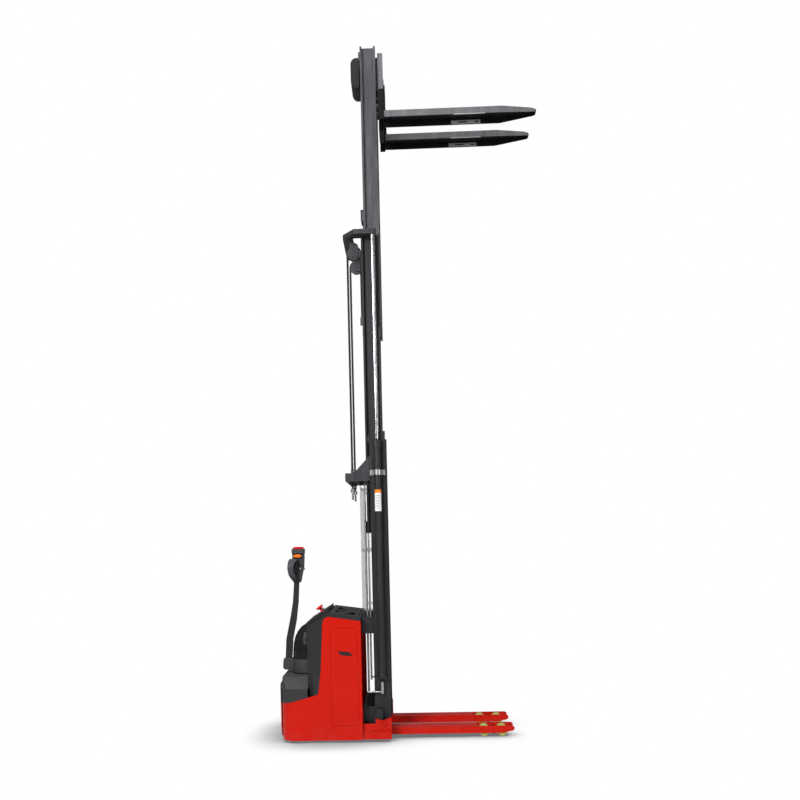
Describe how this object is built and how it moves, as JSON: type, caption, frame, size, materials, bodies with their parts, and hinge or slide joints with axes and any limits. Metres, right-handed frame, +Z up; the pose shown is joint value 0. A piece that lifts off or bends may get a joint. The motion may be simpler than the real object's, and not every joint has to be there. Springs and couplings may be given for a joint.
{
  "type": "walkie stacker",
  "caption": "Electric pedestrian stacker: driven body with tiller, straddle legs on load wheels, and a raised telescopic mast that carries a pair of forks.",
  "frame": {"origin": "on the floor under the middle of the overall length, on the truck's centre plane", "axes": "+Z up, +X towards the fork tips, +Y to the truck's left when facing the fork tips"},
  "size_m": [2.062, 0.8, 5.245],
  "materials": {
    "red_paint": "gloss powder coat",
    "black_plastic": "fine grain",
    "dark_steel": "satin charcoal paint",
    "chrome": "polished",
    "zinc_steel": "zinc plated",
    "roller_steel": "oiled",
    "clear_screen": "clear polycarbonate",
    "green_tyre": "polyurethane",
    "black_tyre": "polyurethane",
    "battery_case": "moulded",
    "drive_casting": "cast and machined",
    "orange_plastic": "moulded",
    "red_plastic": "moulded",
    "grey_plastic": "moulded"
  },
  "bodies": {
    "chassis": {"chassis_frame": "red_paint", "left_leg": "red_paint", "right_leg": "red_paint", "body_shell": "red_paint", "side_doors": "red_paint", "top_cover": "black_plastic", "drive_cover": "black_plastic", "rear_bumper": "black_plastic", "battery_pack": "battery_case", "pump_unit": "drive_casting", "controller": "drive_casting", "outer_mast": "dark_steel", "chain_beam": "dark_steel", "cylinder_tubes": "dark_steel", "cylinder_clamps": "zinc_steel", "mast_guard": "clear_screen", "hydraulic_lines": "zinc_steel"},
    "middle_stage": {"middle_mast": "dark_steel", "crosshead": "dark_steel", "cylinder_rods": "chrome", "lift_chains": "roller_steel"},
    "inner_stage": {"inner_mast": "dark_steel", "free_lift_cylinder": "dark_steel", "top_guard": "black_plastic"},
    "carriage": {"carriage_frame": "dark_steel", "left_fork": "dark_steel", "right_fork": "dark_steel"},
    "yoke": {"free_lift_yoke": "zinc_steel", "free_lift_chains": "roller_steel"},
    "outer_rollers_body": {"outer_rollers": "roller_steel"},
    "middle_low_rollers_body": {"middle_low_rollers": "roller_steel"},
    "middle_top_rollers_body": {"middle_top_rollers": "roller_steel"},
    "inner_rollers_body": {"inner_rollers": "roller_steel"},
    "carriage_low_rollers_body": {"carriage_low_rollers": "roller_steel"},
    "carriage_top_rollers_body": {"carriage_top_rollers": "roller_steel"},
    "lift_pulleys_body": {"lift_pulleys": "roller_steel"},
    "yoke_pulleys_body": {"yoke_pulleys": "roller_steel"},
    "steering": {"steering_head": "black_plastic", "drive_unit": "drive_casting"},
    "drive_wheel_body": {"drive_wheel": "black_tyre"},
    "tiller": {"tiller_arm": "black_plastic", "tiller_head": "black_plastic"},
    "throttle_body": {"throttle": "orange_plastic"},
    "belly_button_body": {"belly_button": "red_plastic"},
    "lift_rocker_body": {"lift_rocker": "grey_plastic"},
    "horn_button_body": {"horn_button": "zinc_steel"},
    "left_castor_body": {"left_castor": "zinc_steel"},
    "right_castor_body": {"right_castor": "zinc_steel"},
    "left_castor_wheel_body": {"left_castor_wheel": "black_tyre"},
    "right_castor_wheel_body": {"right_castor_wheel": "black_tyre"},
    "left_bogie_body": {"left_bogie": "roller_steel"},
    "right_bogie_body": {"right_bogie": "roller_steel"},
    "left_front_wheel_body": {"left_front_wheel": "green_tyre"},
    "left_rear_wheel_body": {"left_rear_wheel": "green_tyre"},
    "right_front_wheel_body": {"right_front_wheel": "green_tyre"},
    "right_rear_wheel_body": {"right_rear_wheel": "green_tyre"},
    "stop_button_body": {"stop_button": "red_plastic"},
    "key_switch_body": {"key_switch": "zinc_steel"},
    "storage_lid_body": {"storage_lid": "black_plastic"}
  },
  "joints": [
    {"name": "mast_lift", "type": "slide", "parent": "chassis", "child": "middle_stage", "axis": [0, 0, 1], "range_m": [-1.455, 0], "deforming": ["lift_chains"]},
    {"name": "inner_lift", "type": "slide", "parent": "middle_stage", "child": "inner_stage", "axis": [0, 0, 1], "range_m": [-1.455, 0]},
    {"name": "carriage_lift", "type": "slide", "parent": "inner_stage", "child": "carriage", "axis": [0, 0, 1], "range_m": [-1.732, 0], "deforming": ["free_lift_chains"]},
    {"name": "yoke_lift", "type": "slide", "parent": "inner_stage", "child": "yoke", "axis": [0, 0, 1], "range_m": [-0.866, 0]},
    {"name": "outer_rollers_spin", "type": "hinge", "parent": "chassis", "child": "outer_rollers_body", "pos_m": [-0.256, 0, 2.265], "axis": [0, 1, 0], "range_deg": [0, 1824.19]},
    {"name": "middle_low_rollers_spin", "type": "hinge", "parent": "middle_stage", "child": "middle_low_rollers_body", "pos_m": [-0.228, 0, 1.61], "axis": [0, 1, 0], "range_deg": [-1824.19, 0]},
    {"name": "middle_top_rollers_spin", "type": "hinge", "parent": "middle_stage", "child": "middle_top_rollers_body", "pos_m": [-0.236, 0, 3.73], "axis": [0, 1, 0], "range_deg": [0, 1907.68]},
    {"name": "inner_rollers_spin", "type": "hinge", "parent": "inner_stage", "child": "inner_rollers_body", "pos_m": [-0.256, 0, 3.175], "axis": [0, 1, 0], "range_deg": [-1824.19, 0]},
    {"name": "carriage_low_rollers_spin", "type": "hinge", "parent": "carriage", "child": "carriage_low_rollers_body", "pos_m": [-0.236, 0, 4.942], "axis": [0, 1, 0], "range_deg": [-2270.86, 0]},
    {"name": "carriage_top_rollers_spin", "type": "hinge", "parent": "carriage", "child": "carriage_top_rollers_body", "pos_m": [-0.236, 0, 5.15], "axis": [0, 1, 0], "range_deg": [-2270.86, 0]},
    {"name": "lift_pulleys_spin", "type": "hinge", "parent": "middle_stage", "child": "lift_pulleys_body", "pos_m": [-0.375, 0, 3.7], "axis": [0, 1, 0], "range_deg": [0, 1634.62]},
    {"name": "yoke_pulleys_spin", "type": "hinge", "parent": "yoke", "child": "yoke_pulleys_body", "pos_m": [-0.254, 0, 4.986], "axis": [0, 1, 0], "range_deg": [0, 1378.29]},
    {"name": "steering_turn", "type": "hinge", "parent": "chassis", "child": "steering", "pos_m": [-0.823, 0, 0.3], "axis": [0, 0, 1], "range_deg": [-90, 90]},
    {"name": "drive_wheel_spin", "type": "hinge", "parent": "steering", "child": "drive_wheel_body", "pos_m": [-0.823, 0, 0.115], "axis": [0, 1, 0], "continuous": true},
    {"name": "tiller_tilt", "type": "hinge", "parent": "steering", "child": "tiller", "pos_m": [-0.982, 0, 0.565], "axis": [0, -1, 0], "range_deg": [0, 80], "stiffness_Nm_per_rad": 35, "springref_deg": -34.38},
    {"name": "throttle_turn", "type": "hinge", "parent": "tiller", "child": "throttle_body", "pos_m": [-0.881, 0, 1.389], "axis": [0, 1, 0], "range_deg": [-20, 20], "stiffness_Nm_per_rad": 0.5},
    {"name": "belly_press", "type": "slide", "parent": "tiller", "child": "belly_button_body", "axis": [0, 0, -1], "range_m": [0, 0.003], "stiffness_N_per_m": 800},
    {"name": "rocker_press", "type": "slide", "parent": "tiller", "child": "lift_rocker_body", "axis": [-1, 0, 0], "range_m": [0, 0.001], "stiffness_N_per_m": 500},
    {"name": "horn_press", "type": "slide", "parent": "tiller", "child": "horn_button_body", "axis": [0, 1, 0], "range_m": [0, 0.0025], "stiffness_N_per_m": 500},
    {"name": "left_castor_swivel", "type": "hinge", "parent": "chassis", "child": "left_castor_body", "pos_m": [-0.808, 0.27, 0.2], "axis": [0, 0, 1], "continuous": true},
    {"name": "left_castor_wheel_spin", "type": "hinge", "parent": "left_castor_body", "child": "left_castor_wheel_body", "pos_m": [-0.843, 0.27, 0.0625], "axis": [0, 1, 0], "continuous": true},
    {"name": "right_castor_swivel", "type": "hinge", "parent": "chassis", "child": "right_castor_body", "pos_m": [-0.808, -0.27, 0.2], "axis": [0, 0, 1], "continuous": true},
    {"name": "right_castor_wheel_spin", "type": "hinge", "parent": "right_castor_body", "child": "right_castor_wheel_body", "pos_m": [-0.843, -0.27, 0.0625], "axis": [0, 1, 0], "continuous": true},
    {"name": "left_bogie_rock", "type": "hinge", "parent": "chassis", "child": "left_bogie_body", "pos_m": [0.602, 0.195, 0.04], "axis": [0, 1, 0], "range_deg": [-2, 2]},
    {"name": "left_front_wheel_spin", "type": "hinge", "parent": "left_bogie_body", "child": "left_front_wheel_body", "pos_m": [0.6695, 0.195, 0.04], "axis": [0, 1, 0], "continuous": true},
    {"name": "left_rear_wheel_spin", "type": "hinge", "parent": "left_bogie_body", "child": "left_rear_wheel_body", "pos_m": [0.5345, 0.195, 0.04], "axis": [0, 1, 0], "continuous": true},
    {"name": "right_bogie_rock", "type": "hinge", "parent": "chassis", "child": "right_bogie_body", "pos_m": [0.602, -0.195, 0.04], "axis": [0, 1, 0], "range_deg": [-2, 2]},
    {"name": "right_front_wheel_spin", "type": "hinge", "parent": "right_bogie_body", "child": "right_front_wheel_body", "pos_m": [0.6695, -0.195, 0.04], "axis": [0, 1, 0], "continuous": true},
    {"name": "right_rear_wheel_spin", "type": "hinge", "parent": "right_bogie_body", "child": "right_rear_wheel_body", "pos_m": [0.5345, -0.195, 0.04], "axis": [0, 1, 0], "continuous": true},
    {"name": "stop_press", "type": "slide", "parent": "chassis", "child": "stop_button_body", "axis": [0.5714, 0, -0.8207], "range_m": [0, 0.005], "stiffness_N_per_m": 900},
    {"name": "key_turn", "type": "hinge", "parent": "chassis", "child": "key_switch_body", "pos_m": [-0.708, 0.12, 0.95937], "axis": [-0.5714, 0, 0.8207], "range_deg": [-90, 0]},
    {"name": "lid_open", "type": "hinge", "parent": "chassis", "child": "storage_lid_body", "pos_m": [-0.4075, 0, 0.92665], "axis": [0, 1, 0], "range_deg": [0, 75]}
  ],
  "couplings": [
    {"joint": "inner_lift", "follows": "mast_lift", "ratio": 1},
    {"joint": "yoke_lift", "follows": "carriage_lift", "ratio": 0.5},
    {"joint": "outer_rollers_spin", "follows": "mast_lift", "rad_per_m": -21.882},
    {"joint": "middle_low_rollers_spin", "follows": "mast_lift", "rad_per_m": 21.882},
    {"joint": "middle_top_rollers_spin", "follows": "mast_lift", "rad_per_m": -22.883},
    {"joint": "inner_rollers_spin", "follows": "mast_lift", "rad_per_m": 21.882},
    {"joint": "carriage_low_rollers_spin", "follows": "carriage_lift", "rad_per_m": 22.883},
    {"joint": "carriage_top_rollers_spin", "follows": "carriage_lift", "rad_per_m": 22.883},
    {"joint": "lift_pulleys_spin", "follows": "mast_lift", "rad_per_m": -19.608},
    {"joint": "yoke_pulleys_spin", "follows": "carriage_lift", "rad_per_m": -13.889}
  ]
}
